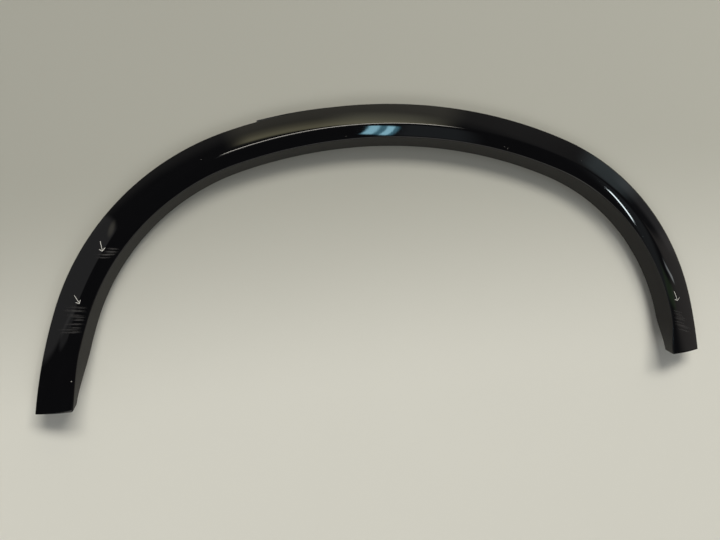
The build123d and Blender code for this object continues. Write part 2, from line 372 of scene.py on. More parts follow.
def outer_skin(sizes, run):
    """Points of the outer skin across the trim, from the lip's tip to the flange's tip."""
    radii = (sizes.lip_edge_radius, crease_rounding(sizes, run), sizes.outer_edge_radius)
    growth = ease((abs(run) - sizes.swell_holds) / sizes.swell_growth)
    swells = (0.0, blend(sizes.lower_swell, sizes.lower_swell_end, growth), sizes.upper_swell, 0.0)
    return rounded(section_corners(sizes, run), radii, OUTER_STRAIGHTS, OUTER_ROUNDS, swells)


def inner_skin(sizes, run):
    """Points of the inner skin across the trim, from the flange back to the lip."""
    radii = (0.0, crease_rounding(sizes, run), 0.0)
    corners = inset_corners(section_corners(sizes, run), sizes.wall)
    swells = (0.0, 0.0, 0.0, 0.0)
    return rounded(corners, radii, INNER_STRAIGHTS, INNER_ROUNDS, swells)[::-1]


def skin_normals(points):
    """Outward directions on a section's skin, square to its points' neighbours."""
    normals = []
    for index in range(len(points)):
        before = points[max(index - 1, 0)]
        after = points[min(index + 1, len(points) - 1)]
        along = (after - before).normalized()
        normals.append(Vector((-along.y, along.x)))
    return normals


def face_spot(sizes, run, across):
    """World position and outward direction on the face, at a distance across it from the lip's front."""
    points = outer_skin(sizes, run)[LIP_COLUMNS:]
    section = SectionFrame(sizes, run)
    for start, end in zip(points, points[1:]):
        if start.x <= across <= end.x and end.x > start.x:
            spot = start.lerp(end, (across - start.x) / (end.x - start.x))
            along = (end - start).normalized()
            normal = section.rise * along.x - section.across * along.y
            return section.place(spot), normal.normalized()
    raise ValueError(f"no face at {across} m across")


class EndCut:
    """The cut at one end, in plan: a straight edge, a rounded corner and a slope along the lip."""

    def __init__(self, sizes, side, inset):
        left_end, right_end = arch_ends(sizes)
        self.end = right_end if side > 0 else left_end
        turn = sizes.right_cut if side > 0 else sizes.left_cut
        gain = sizes.right_face_gain if side > 0 else sizes.left_face_gain
        self.side = side
        self.inset = inset
        self.slope = sizes.end_corner_angle
        self.radius = sizes.end_corner_radius
        self.corner = inset * math.tan(self.slope / 2.0) - gain
        self.point = SectionFrame(sizes, self.end).origin
        self.x_axis = Vector((side * math.cos(turn), -math.sin(turn), 0.0))
        self.y_axis = Vector((side * math.sin(turn), math.cos(turn), 0.0))

    def level(self, x):
        """Height of the cut's line over its straight edge's own axis."""
        tangent = self.radius * math.tan(self.slope / 2.0)
        from_corner = x - self.corner
        if from_corner >= tangent:
            return self.inset
        if from_corner <= -tangent * math.cos(self.slope):
            return self.inset - from_corner * math.tan(self.slope)
        reach = tangent - from_corner
        return self.inset + self.radius - math.sqrt(max(self.radius**2 - reach**2, 0.0))

    def room(self, position):
        """How far a position lies inside the cut."""
        arm = position - self.point
        return arm.dot(self.y_axis) - self.level(arm.dot(self.x_axis))


# Rows of the mesh: evenly spaced up to the end zones, then drawn to the cuts and rounded over their edges
END_ZONE = 0.050
END_REACH = 0.023
ROW_STEP = 0.0026
END_ROWS = 18
EDGE_ROWS = 4
BISECTIONS = 22


def cut_runs(sizes, skin, cut):
    """For each column of a skin, the run at which it meets an end cut."""
    columns = len(skin(sizes, cut.end))
    runs = []
    for column in range(columns):
        near = cut.end - cut.side * END_ZONE
        far = cut.end + cut.side * END_REACH
        for _ in range(BISECTIONS):
            middle = (near + far) / 2.0
            position = SectionFrame(sizes, middle).place(skin(sizes, middle)[column])
            if cut.room(position) > 0.0:
                near = middle
            else:
                far = middle
        runs.append(near)
    return runs


def main_runs(sizes):
    """Evenly spaced runs between the two end zones."""
    left_end, right_end = arch_ends(sizes)
    start = left_end + END_ZONE
    length = right_end - left_end - 2.0 * END_ZONE
    count = round(length / ROW_STEP)
    return [start + length * index / count for index in range(count + 1)]


def end_rows(sizes, skin, side, inset):
    """Rows of one skin from the end zone out to its cut, as lists of world positions with their runs."""
    cut = EndCut(sizes, side, inset)
    last = cut_runs(sizes, skin, cut)
    start = cut.end - side * END_ZONE
    edge_radius = sizes.end_edge_radius if inset == 0.0 else 0.0
    rows = []
    for row in range(1, END_ROWS + 1):
        positions = []
        for column, end in enumerate(last):
            run = blend(start, end - side * edge_radius, row / END_ROWS)
            positions.append((SectionFrame(sizes, run).place(skin(sizes, run)[column]), run))
        rows.append(positions)
    if inset > 0.0:
        return rows
    for row in range(1, EDGE_ROWS + 1):
        bend = math.pi / 2.0 * row / EDGE_ROWS
        depth = edge_radius * (1.0 - math.cos(bend))
        positions = []
        for column, end in enumerate(last):
            run = end - side * edge_radius * (1.0 - math.sin(bend))
            points = skin(sizes, run)
            spot = points[column] - skin_normals(points)[column] * depth
            positions.append((SectionFrame(sizes, run).place(spot), run))
        rows.append(positions)
    return rows


class MeshParts:
    """Vertices, faces, finishes and plan lengths gathered for one mesh."""

    def __init__(self):
        self.vertices = []
        self.lengths = []
        self.faces = []
        self.finishes = []

    def point(self, position, along=0.0, around=0.0):
        """Adds a vertex with its place along and around the trim, and returns its number."""
        self.vertices.append(tuple(position))
        self.lengths.append((along, around))
        return len(self.vertices) - 1

    def face(self, corners, finish):
        """Adds a face without repeated corners."""
        clean = [corner for index, corner in enumerate(corners) if corner != corners[index - 1]]
        if len(set(clean)) > 2:
            self.faces.append(clean)
            self.finishes.append(finish)

    def stack(self, rings, finish=0):
        """Adds a closed body through a stack of rings of vertices."""
        self.face(rings[0][::-1], finish)
        self.face(rings[-1], finish)
        for ring, above in zip(rings, rings[1:]):
            for index in range(len(ring)):
                onward = (index + 1) % len(ring)
                self.face([ring[index], ring[onward], above[onward], above[index]], finish)

    def prism(self, floor, roof, finish):
        """Adds a closed prism between two rings of positions."""
        low = [self.point(position, position.x, position.y) for position in floor]
        high = [self.point(position, position.x, position.y + position.z) for position in roof]
        self.stack([low, high], finish)

    def build(self, name, materials, smooth_angle=35.0):
        """The finished object, with its normals out and its sharp edges kept."""
        mesh = bpy.data.meshes.new(name)
        mesh.from_pydata(self.vertices, [], self.faces)
        for material in materials:
            mesh.materials.append(material)
        mesh.polygons.foreach_set("material_index", self.finishes)
        mesh.polygons.foreach_set("use_smooth", [True] * len(self.faces))
        lengths = mesh.uv_layers.new(name="lengths")
        for loop in mesh.loops:
            lengths.data[loop.index].uv = self.lengths[loop.vertex_index]
        work = bmesh.new()
        work.from_mesh(mesh)
        bmesh.ops.recalc_face_normals(work, faces=work.faces)
        work.to_mesh(mesh)
        work.free()
        mesh.set_sharp_from_angle(angle=math.radians(smooth_angle))
        piece = bpy.data.objects.new(name, mesh)
        bpy.context.scene.collection.objects.link(piece)
        return piece


def add_rows(parts, rows):
    """Adds rows of positions with their runs as vertices, and returns their numbers."""
    numbers = []
    for row in rows:
        around = 0.0
        line = []
        for index, (position, run) in enumerate(row):
            if index:
                around += (position - row[index - 1][0]).length
            line.append(parts.point(position, run, around))
        numbers.append(line)
    return numbers


def skin_rows(sizes, skin, inset):
    """All rows of a skin from the left end to the right end."""
    left = end_rows(sizes, skin, -1.0, inset)[::-1]
    right = end_rows(sizes, skin, 1.0, inset)
    middle = []
    for run in main_runs(sizes):
        section = SectionFrame(sizes, run)
        middle.append([(section.place(spot), run) for spot in skin(sizes, run)])
    return left + middle + right


def stitch(parts, rows, finish_of):
    """Quads between neighbouring rows."""
    for row, following in zip(rows, rows[1:]):
        for column in range(len(row) - 1):
            corners = [row[column], row[column + 1], following[column + 1], following[column]]
            parts.face(corners, finish_of(column))


def outer_finish(column):
    """The lip is grained up into its rounded edge, and the rest of the outer skin is gloss."""
    return GRAIN if column < LIP_COLUMNS + OUTER_ROUNDS[0] // 2 else GLOSS


def close_end(parts, outer, inner, last):
    """Closes one end of the shell: its lower rim, its inner face and its outer face.

    Outer holds the rows from the one level with the end wall's inner face out to the cut, inner is the
    inner skin's last row from the flange to the lip, and last holds the cut's positions.
    """
    edge = outer[-1]
    tip, foot = last[0], last[-1]
    floor = [edge[0]]
    for column in range(1, len(edge) - 1):
        position = last[column]
        share = min((position - tip).xy.length / (foot - tip).xy.length, 1.0)
        beyond = column > OUTER_COLUMNS - OUTER_STRAIGHTS[-1] - OUTER_ROUNDS[-1]
        level = blend(tip.z, foot.z, share)
        floor.append(edge[-1] if beyond else parts.point((position.x, position.y, level), position.x, level))
    floor.append(edge[-1])
    for column in range(len(edge) - 1):
        parts.face([edge[column], edge[column + 1], floor[column + 1], floor[column]], GLOSS)
    lip_side = [row[0] for row in outer]
    flange_side = [row[-1] for row in outer][::-1]
    rim = lip_side + [number for number in floor[1:-1] if number not in flange_side] + flange_side
    parts.face(rim + [inner[0], inner[-1]], BACK)
    parts.face(list(inner), BACK)


def add_shell(parts, sizes):
    """The moulded shell: outer skin, inner skin, rims and end walls."""
    outer_rows = skin_rows(sizes, outer_skin, 0.0)
    inner_rows = skin_rows(sizes, inner_skin, sizes.end_wall)
    outer = add_rows(parts, outer_rows)
    inner = add_rows(parts, inner_rows)
    stitch(parts, outer, outer_finish)
    stitch(parts, inner, lambda column: BACK)
    shell = outer[EDGE_ROWS:len(outer) - EDGE_ROWS]
    for row, following, back, back_following in zip(shell, shell[1:], inner, inner[1:]):
        parts.face([row[0], following[0], back_following[-1], back[-1]], GRAIN)
        parts.face([row[-1], following[-1], back_following[0], back[0]], GLOSS)
    left_edge = [position for position, run in outer_rows[0]]
    right_edge = [position for position, run in outer_rows[-1]]
    close_end(parts, outer[:EDGE_ROWS + 1][::-1], inner[0], left_edge)
    close_end(parts, outer[len(outer) - EDGE_ROWS - 1:], inner[-1], right_edge)


def clip_runs(sizes):
    """Runs of the clips from the crown, left to right."""
    count = sizes.clips_per_side
    return [(index - count + 0.5) * sizes.clip_pitch for index in range(2 * count)]


def under_face(sizes, run, reach):
    """Height of the middle of the face's wall over a plan distance out from the arch line."""
    section = SectionFrame(sizes, run)
    corners = inset_corners(section_corners(sizes, run), sizes.wall / 2.0)
    line = [section.place(corner) for corner in corners]
    outs = [(position - section.origin).dot(section.out) for position in line]
    for index in range(1, len(line) - 2):
        if outs[index] <= reach <= outs[index + 1]:
            share = (reach - outs[index]) / (outs[index + 1] - outs[index])
            return blend(line[index].z, line[index + 1].z, share)
    raise ValueError(f"no face over {reach} m")


WALL_STEPS = 6


def add_tower_wall(parts, sizes, run, seat, ends):
    """One upright wall of a clip tower, between two plan corners, up into the face's thickness."""
    (low_along, low_out), (high_along, high_out) = ends
    section = SectionFrame(sizes, run)
    floor = []
    roof = []
    across_steps = [blend(low_out, high_out, step / WALL_STEPS) for step in range(WALL_STEPS + 1)]
    ring = [(low_along, out) for out in across_steps] + [(high_along, out) for out in across_steps[::-1]]
    for along, out in ring:
        position = seat + section.along * along + section.out * out
        height = under_face(sizes, run, sizes.clip_offset + out)
        floor.append(position)
        roof.append(Vector((position.x, position.y, height)))
    parts.prism(floor, roof, BACK)


def add_towers(parts, sizes):
    """The clip towers: three walls and a slotted seat plate each."""
    half_length = sizes.tower_length / 2.0
    half_width = sizes.tower_width / 2.0
    half_slot = sizes.slot_width / 2.0
    wall = sizes.tower_wall
    for run in clip_runs(sizes):
        seat = clip_seat(sizes, run) + arch_origin(sizes)
        walls = [
            ((-half_length, -half_width), (half_length, -half_width + wall)),
            ((-half_length, half_width - wall), (half_length, half_width)),
            ((-half_length, -half_width + wall), (-half_length + wall, half_width - wall)),
        ]
        for ends in walls:
            add_tower_wall(parts, sizes, run, seat, ends)
        section = SectionFrame(sizes, run)
        plate = [
            (half_length, -half_width), (half_length, -half_slot), (-half_slot, -half_slot),
            (-half_slot, half_slot), (half_length, half_slot), (half_length, half_width),
            (-half_length, half_width), (-half_length, -half_width),
        ]
        floor = [seat + section.along * along + section.out * outward for along, outward in plate]
        roof = [position + Vector((0.0, 0.0, sizes.seat_plate)) for position in floor]
        parts.prism(floor, roof, BACK)


def add_gussets(parts, sizes):
    """Thin triangular ribs between the lip and the face."""
    runs = clip_runs(sizes)
    for first, second in zip(runs, runs[1:]):
        for index in range(sizes.gussets_per_bay):
            run = blend(first, second, (index + 1) / (sizes.gussets_per_bay + 1))
            section = SectionFrame(sizes, run)
            lip_back, corner, crease = inset_corners(section_corners(sizes, run), sizes.wall / 2.0)[:3]
            lip_foot = corner + (lip_back - corner).normalized() * sizes.gusset_reach
            face_foot = corner + (crease - corner).normalized() * sizes.gusset_reach
            half = section.along * (sizes.gusset_thickness / 2.0)
            ring = [section.place(spot) for spot in (corner, lip_foot, face_foot)]
            parts.prism([position - half for position in ring], [position + half for position in ring], BACK)


TAB_STEPS = 24


def add_tab(parts, sizes):
    """The raised stretch of the outer edge, which fades towards the crown."""
    level = -sizes.outer_drop - sizes.outer_edge_radius
    outer = []
    inner = []
    for step in range(TAB_STEPS + 1):
        share = step / TAB_STEPS
        section = SectionFrame(sizes, sizes.tab_start + sizes.tab_length * share)
        outer.append(section.place((sizes.band_width + sizes.tab_reach * (1.0 - share), level)))
        inner.append(section.place((sizes.band_width - sizes.wall / 2.0, level)))
    ring = outer + inner[::-1]
    drop = Vector((0.0, 0.0, sizes.tab_thickness))
    parts.prism([position - drop for position in ring], ring, GLOSS)


# Finishes


class NodeTree:
    """Short ways to add and join the nodes of a material or of the room."""

    def __init__(self, owner):
        owner.use_nodes = True
        self.owner = owner
        self.nodes = owner.node_tree.nodes
        self.links = owner.node_tree.links

    def add(self, kind, inputs=None, **options):
        """Adds a node, sets its options and inputs, and joins the inputs that are sockets."""
        node = self.nodes.new("ShaderNode" + kind)
        for option, value in options.items():
            setattr(node, option, value)
        for socket, value in (inputs or {}).items():
            self.set(node, socket, value)
        return node

    def set(self, node, socket, value):
        """Sets an input, or joins it to another node's output."""
        if isinstance(value, bpy.types.NodeSocket):
            self.links.new(value, node.inputs[socket])
        else:
            node.inputs[socket].default_value = value

    def finish(self, **inputs):
        """Sets the material's shader's own inputs, with spaces for underscores."""
        for socket, value in inputs.items():
            self.set(self.nodes["Principled BSDF"], socket.replace("_", " "), value)
        return self.owner

    def spread(self, value, low, high, start=0.0, end=1.0, kind="LINEAR"):
        """Maps a value to a range."""
        inputs = {"Value": value, "From Min": start, "From Max": end, "To Min": low, "To Max": high}
        return self.add("MapRange", inputs, interpolation_type=kind).outputs["Result"]

    def fade(self, distance, softness):
        """1 well inside a distance of 1, fading to 0 outside it."""
        return self.spread(distance, 1.0, 0.0, 1.0 - softness, 1.0 + softness, "SMOOTHSTEP")

    def math(self, operation, first, second=0.0):
        """One or two values put through an operation."""
        return self.add("Math", {0: first, 1: second}, operation=operation).outputs["Value"]

    def mix(self, share, first, second):
        """A colour between two."""
        return self.add("MixRGB", {"Fac": share, "Color1": first, "Color2": second}).outputs["Color"]

    def place(self):
        """Places on the object in metres."""
        return self.add("TexCoord").outputs["Object"]

    def lengths(self, along=1.0, around=1.0):
        """Places on the trim in metres, along and around its section, stretched by two factors."""
        layer = self.add("UVMap", uv_map="lengths").outputs["UV"]
        return self.add("Mapping", {"Vector": layer, "Scale": (along, around, 1.0)}).outputs["Vector"]

    def noise(self, vector, scale, detail=3.0, roughness=0.5):
        """A noise pattern's value."""
        inputs = {"Vector": vector, "Scale": scale, "Detail": detail, "Roughness": roughness}
        return self.add("TexNoise", inputs).outputs["Fac"]

    def bump(self, height, distance, strength=1.0, normal=None):
        """A bump of a real depth, over another bump if there is one."""
        inputs = {"Height": height, "Distance": distance, "Strength": strength}
        if normal is not None:
            inputs["Normal"] = normal
        return self.add("Bump", inputs).outputs["Normal"]


def shades(colour_value, low, high):
    """Two colours of the same hue, darker and lighter, for a mix node."""
    darker = tuple(channel * low for channel in colour_value) + (1.0,)
    lighter = tuple(channel * high for channel in colour_value) + (1.0,)
    return darker, lighter


def gloss_black_finish(finishes):
    """Black gloss plastic with a faint ripple, handling smears and hairline scratches."""
    tree = NodeTree(bpy.data.materials.new("gloss_black"))
    place = tree.lengths()
    smears = tree.noise(tree.lengths(along=0.6, around=1.6), scale=42.0, detail=5.0, roughness=0.6)
    hairlines = tree.noise(tree.lengths(along=0.05), scale=2600.0, detail=2.0)
    rough_smears = tree.spread(smears, low=0.012, high=0.036, start=0.42, end=0.78)
    rough_lines = tree.spread(hairlines, low=0.0, high=0.02, start=0.58, end=0.8)
    roughness = tree.math("ADD", rough_smears, rough_lines)
    tint = tree.mix(smears, *shades(finishes.gloss_black, 0.8, 1.5))
    ripple = tree.noise(place, scale=320.0, detail=2.0)
    normal = tree.bump(ripple, distance=0.000001)
    return tree.finish(Base_Color=tint, Roughness=roughness, Normal=normal, IOR=1.5)


def grained_lip_finish(finishes):
    """Matt plastic with a fine leather-like grain, paler where dust has settled."""
    tree = NodeTree(bpy.data.materials.new("grained_lip"))
    place = tree.lengths()
    cells = tree.add("TexVoronoi", {"Vector": place, "Scale": 1400.0, "Randomness": 1.0}).outputs["Distance"]
    fine = tree.noise(place, scale=3800.0)
    grain = tree.math("ADD", cells, fine)
    dust = tree.noise(tree.lengths(along=0.5, around=2.0), scale=60.0, detail=5.0, roughness=0.65)
    tint = tree.mix(dust, *shades(finishes.grained_lip, 0.75, 1.7))
    roughness = tree.spread(dust, low=0.46, high=0.62)
    normal = tree.bump(grain, distance=0.00006, strength=0.8)
    return tree.finish(Base_Color=tint, Roughness=roughness, Normal=normal, IOR=1.46)


def plain_back_finish(finishes):
    """Bare moulded plastic with flow marks and a satin tool finish."""
    tree = NodeTree(bpy.data.materials.new("plain_back"))
    place = tree.place()
    flow = tree.noise(place, scale=55.0, detail=4.0, roughness=0.6)
    stipple = tree.noise(place, scale=2400.0, detail=2.0)
    tint = tree.mix(flow, *shades(finishes.plain_back, 0.7, 1.5))
    roughness = tree.spread(flow, low=0.34, high=0.52)
    normal = tree.bump(stipple, distance=0.00002, strength=0.6)
    return tree.finish(Base_Color=tint, Roughness=roughness, Normal=normal, IOR=1.48)


def nylon_finish(finishes):
    """Milky moulded nylon, slightly uneven."""
    tree = NodeTree(bpy.data.materials.new("clip_nylon"))
    place = tree.place()
    cloud = tree.noise(place, scale=130.0, detail=4.0, roughness=0.55)
    tint = tree.mix(cloud, *shades(finishes.nylon, 0.86, 1.06))
    roughness = tree.spread(cloud, low=0.30, high=0.46)
    stipple = tree.noise(place, scale=900.0, detail=2.0)
    normal = tree.bump(stipple, distance=0.00003, strength=0.5)
    return tree.finish(
        Base_Color=tint, Roughness=roughness, Normal=normal, IOR=1.53,
        Subsurface_Weight=0.25, Subsurface_Radius=(0.004, 0.0035, 0.0025), Subsurface_Scale=0.5,
    )


def pen_finish(finishes):
    """White paint pen, thin and uneven where it ran dry."""
    tree = NodeTree(bpy.data.materials.new("white_pen"))
    place = tree.place()
    cover = tree.noise(place, scale=900.0, detail=4.0, roughness=0.65)
    tint = tree.mix(cover, *shades(finishes.pen_white, 0.7, 1.1))
    roughness = tree.spread(cover, low=0.45, high=0.7)
    normal = tree.bump(cover, distance=0.00002, strength=0.6)
    return tree.finish(Base_Color=tint, Roughness=roughness, Normal=normal)


def scratch_finish(finishes):
    """Torn plastic in a scratch, pale in places and dark in others."""
    tree = NodeTree(bpy.data.materials.new("scratched_plastic"))
    place = tree.place()
    tear = tree.noise(place, scale=420.0, detail=5.0, roughness=0.7)
    pale = tree.spread(tear, low=0.0, high=1.0, start=0.3, end=0.7)
    tint = tree.mix(pale, *shades(finishes.scratch_grey, 0.25, 1.5))
    roughness = tree.spread(tear, low=0.4, high=0.65)
    normal = tree.bump(tear, distance=0.00002, strength=0.8)
    return tree.finish(Base_Color=tint, Roughness=roughness, Normal=normal)


def dust_finish(finishes):
    """Pale dust and paint specks."""
    tree = NodeTree(bpy.data.materials.new("dust"))
    place = tree.place()
    clump = tree.noise(place, scale=2600.0, detail=4.0, roughness=0.7)
    tint = tree.mix(clump, *shades(finishes.dust, 0.6, 1.2))
    normal = tree.bump(clump, distance=0.00005, strength=0.8)
    return tree.finish(Base_Color=tint, Roughness=0.8, Normal=normal)


# Depths between which the paper's colour darkens behind the trim, a painted shade for the light falling off
# there, and how far that line turns with x
PAINTED_SHADE_FADE = (-0.19, 0.145)
PAINTED_SHADE_TILT = 0.09
# Where the far paper's colour grows paler from left to right, a painted light gradient, and how much that
# counts beside its clouding
PAINTED_LIGHT_SIDES = (-0.5, 0.5)
PAINTED_LIGHT_SIDE_SHARE = 0.8


def painted_shade_paper_finish(finishes):
    """Pale matt paper with faint clouding and fibres. Its colour is darkened behind the trim and paled to the
    right as painted shade and light.
    """
    tree = NodeTree(bpy.data.materials.new("pale_paper_painted_shade"))
    place = tree.place()
    cloud = tree.noise(place, scale=2.2, detail=4.0, roughness=0.55)
    fibres = tree.noise(place, scale=700.0, detail=4.0, roughness=0.7)
    axes = tree.add("SeparateXYZ", {"Vector": place}).outputs
    # The paper's own colour is the near tint with its clouding. The darkening behind the trim and the paling
    # to the right are painted shade and light.
    depth = tree.math("SUBTRACT", axes["Y"], tree.math("MULTIPLY", axes["X"], PAINTED_SHADE_TILT))
    far = tree.spread(depth, 0.0, 1.0, *PAINTED_SHADE_FADE, kind="SMOOTHSTEP")
    near_tint = tree.mix(cloud, *shades(finishes.paper, 0.975, 1.025))
    painted_light_rightward = tree.spread(axes["X"], 0.0, PAINTED_LIGHT_SIDE_SHARE, *PAINTED_LIGHT_SIDES)
    clouded = tree.math("ADD", painted_light_rightward, tree.spread(cloud, 0.0, 1.0 - PAINTED_LIGHT_SIDE_SHARE))
    painted_shade_tint = tree.mix(clouded, *shades(finishes.far_paper_painted_shade, 0.9, 1.12))
    normal = tree.bump(fibres, distance=0.0001, strength=0.25)
    return tree.finish(Base_Color=tree.mix(far, near_tint, painted_shade_tint), Roughness=0.85, Normal=normal)


# Marks on the face, as places along the arch and across the face from the lip's front, in millimetres

PEN_STROKES = (
    ((-394.0, 28.0), (-401.5, 19.0)),
    ((-402.5, 23.5), (-401.8, 18.8), (-396.5, 18.5)),
    ((-461.0, 25.0), (-467.0, 15.5)),
    ((-468.0, 20.5), (-467.5, 15.5), (-462.5, 16.0)),
    ((459.5, 13.5), (473.0, 15.5)),
    ((470.5, 11.0), (474.0, 15.5), (471.5, 21.0)),
)
ScratchPatch = namedtuple("ScratchPatch", "first_run last_run strokes slant shortest longest")
SCRATCH_PATCHES = (
    ScratchPatch(-386.0, -400.0, 6, -0.6, 18.0, 31.0),
    ScratchPatch(-467.0, -500.0, 13, -0.32, 18.0, 39.0),
    ScratchPatch(478.0, 508.0, 8, 0.6, 20.0, 38.0),
)
Speck = namedtuple("Speck", "run across size")
SPECKS = (
    Speck(-560.0, 2.4, 2.2), Speck(131.0, 5.5, 1.0), Speck(135.5, 4.5, 0.9), Speck(237.0, 24.5, 0.8),
    Speck(-249.5, 22.5, 0.8), Speck(-76.0, 4.0, 0.8),
)
# Steps and spread in millimetres, tapers as shares of a line's length, the blunt tip as a share of a taper
PEN_STEP = 0.6
PEN_TAPER = 0.08
SCRATCH_STEP = 1.2
SCRATCH_TAPER = 0.4
TIP_SHARE = 0.02
HAIRLINES = 12
HAIRLINE_SPREAD = 0.6
# Where a hairline starts, in millimetres at least and as a share of its stroke at most, where it stops, as
# shares of its stroke, and how wide it is, as shares of the scratch width
HAIRLINE_START = (1.0, 0.35)
HAIRLINE_STOP = (0.7, 1.0)
HAIRLINE_WIDTHS = (0.5, 1.4)
# Levels of a dust speck and its width there, as shares of its radius
SPECK_LEVELS = ((-0.3, 1.0), (0.25, 0.85), (0.5, 0.45))
SPECK_SIDES = 9
SPECK_UNEVENNESS = (0.75, 1.2)
WEAR_SEED = 7


def along_line(line, step):
    """Evenly spaced places along a line of places, each with its share of the line's length."""
    corners = [Vector(corner) for corner in line]
    spans = [(end - start).length for start, end in zip(corners, corners[1:])]
    total = sum(spans)
    count = max(round(total / step), 2)
    places = []
    for index in range(count + 1):
        rest = total * index / count
        for start, end, span in zip(corners, corners[1:], spans):
            if rest <= span or end == corners[-1]:
                places.append((start.lerp(end, min(rest / span, 1.0)), index / count))
                break
            rest -= span
    return places


def add_ribbon(parts, sizes, line, step, width, height, taper):
    """A thin lens-shaped ribbon laid on the face along a line, its ends drawn to points."""
    spots = [(face_spot(sizes, place.x * MM, place.y * MM), share) for place, share in along_line(line, step)]
    rings = []
    for index, ((position, normal), share) in enumerate(spots):
        before = spots[max(index - 1, 0)][0][0]
        after = spots[min(index + 1, len(spots) - 1)][0][0]
        side = normal.cross(after - before).normalized()
        full = min(1.0, share / taper, (1.0 - share) / taper)
        half = side * (width / 2.0 * math.sqrt(max(full, TIP_SHARE)))
        lift = normal * height
        ring = (position - half - lift, position + lift * full, position + half - lift, position - lift * 2.0)
        rings.append([parts.point(spot) for spot in ring])
    parts.stack(rings)


def add_scratch(parts, sizes, patch, share, chance):
    """One stroke of a patch of scratches, as a bundle of hairlines up from the lip's edge."""
    foot = blend(patch.first_run, patch.last_run, share)
    length = chance.uniform(patch.shortest, patch.longest)
    for _ in range(HAIRLINES):
        shift = chance.gauss(0.0, HAIRLINE_SPREAD)
        start = chance.uniform(HAIRLINE_START[0], HAIRLINE_START[1] * length)
        stop = chance.uniform(*HAIRLINE_STOP) * length
        line = [(foot + shift + patch.slant * across, across) for across in (start, stop)]
        width = sizes.scratch_width * chance.uniform(*HAIRLINE_WIDTHS)
        add_ribbon(parts, sizes, line, SCRATCH_STEP, width, sizes.scratch_height, SCRATCH_TAPER)


def add_speck(parts, sizes, speck, chance):
    """A small uneven lump of dust on the face."""
    position, normal = face_spot(sizes, speck.run * MM, speck.across * MM)
    radius = sizes.speck_radius * speck.size
    side = normal.orthogonal().normalized()
    other = normal.cross(side)
    rings = []
    for level, share in SPECK_LEVELS:
        ring = []
        middle = position + normal * (radius * level)
        for index in range(SPECK_SIDES):
            turn = math.tau * index / SPECK_SIDES
            reach = radius * share * chance.uniform(*SPECK_UNEVENNESS)
            ring.append(parts.point(middle + (side * math.cos(turn) + other * math.sin(turn)) * reach))
        rings.append(ring)
    parts.stack(rings)


# Pieces


class ARCHTRIM_OT_moulding(bpy.types.Operator):
    """Builds the moulding: shell, towers, gussets and edge tab in one mesh"""

    bl_idname = "archtrim.moulding"
    bl_label = "Moulding"

    def execute(self, context):
        sizes, finishes, _ = settings()
        parts = MeshParts()
        add_shell(parts, sizes)
        add_towers(parts, sizes)
        add_gussets(parts, sizes)
        add_tab(parts, sizes)
        materials = [gloss_black_finish(finishes), grained_lip_finish(finishes), plain_back_finish(finishes)]
        piece = parts.build("moulded_trim", materials)
        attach(piece, BODY)
        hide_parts(TRIM_NODE)
        return {"FINISHED"}


class ARCHTRIM_OT_clips(bpy.types.Operator):
    """Gives the push-in clips their nylon finish"""

    bl_idname = "archtrim.clips"
    bl_label = "Clips"

    def execute(self, context):
        finishes = settings()[1]
        clips = frame["nodes"][CLIPS_NODE]
        nylon = nylon_finish(finishes)
        for slot in clips.material_slots:
            slot.material = nylon
        return {"FINISHED"}


class ARCHTRIM_OT_pen_marks(bpy.types.Operator):
    """Draws the white pen arrows on the face"""

    bl_idname = "archtrim.pen_marks"
    bl_label = "Pen Marks"

    def execute(self, context):
        sizes, finishes, _ = settings()
        parts = MeshParts()
        for line in PEN_STROKES:
            add_ribbon(parts, sizes, line, PEN_STEP, sizes.pen_width, sizes.pen_height, PEN_TAPER)
        piece = parts.build("pen_arrows", [pen_finish(finishes)])
        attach(piece, BODY)
        return {"FINISHED"}


class ARCHTRIM_OT_wear(bpy.types.Operator):
    """Scratches the face and leaves dust specks on it"""

    bl_idname = "archtrim.wear"
    bl_label = "Wear"

    def execute(self, context):
        sizes, finishes, _ = settings()
        chance = random.Random(WEAR_SEED)
        parts = MeshParts()
        for patch in SCRATCH_PATCHES:
            for index in range(patch.strokes):
                add_scratch(parts, sizes, patch, (index + chance.random()) / patch.strokes, chance)
        scratches = parts.build("face_scratches", [scratch_finish(finishes)])
        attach(scratches, BODY)
        parts = MeshParts()
        for speck in SPECKS:
            add_speck(parts, sizes, speck, chance)
        specks = parts.build("dust_specks", [dust_finish(finishes)])
        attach(specks, BODY)
        return {"FINISHED"}


# The stage. Each card is a soft panel of light in the room, placed by the direction in which the trim
# sees it: azimuth from straight behind towards the right, elevation, half width, half height and turn in
# degrees, then how soft its sides, top and bottom are, as shares of its halves. An oval takes the first
# softness all round.

Card = namedtuple(
    "Card",
    "azimuth elevation half_width half_height turn sides top bottom radiance tint oval",
    defaults=(False,),
)

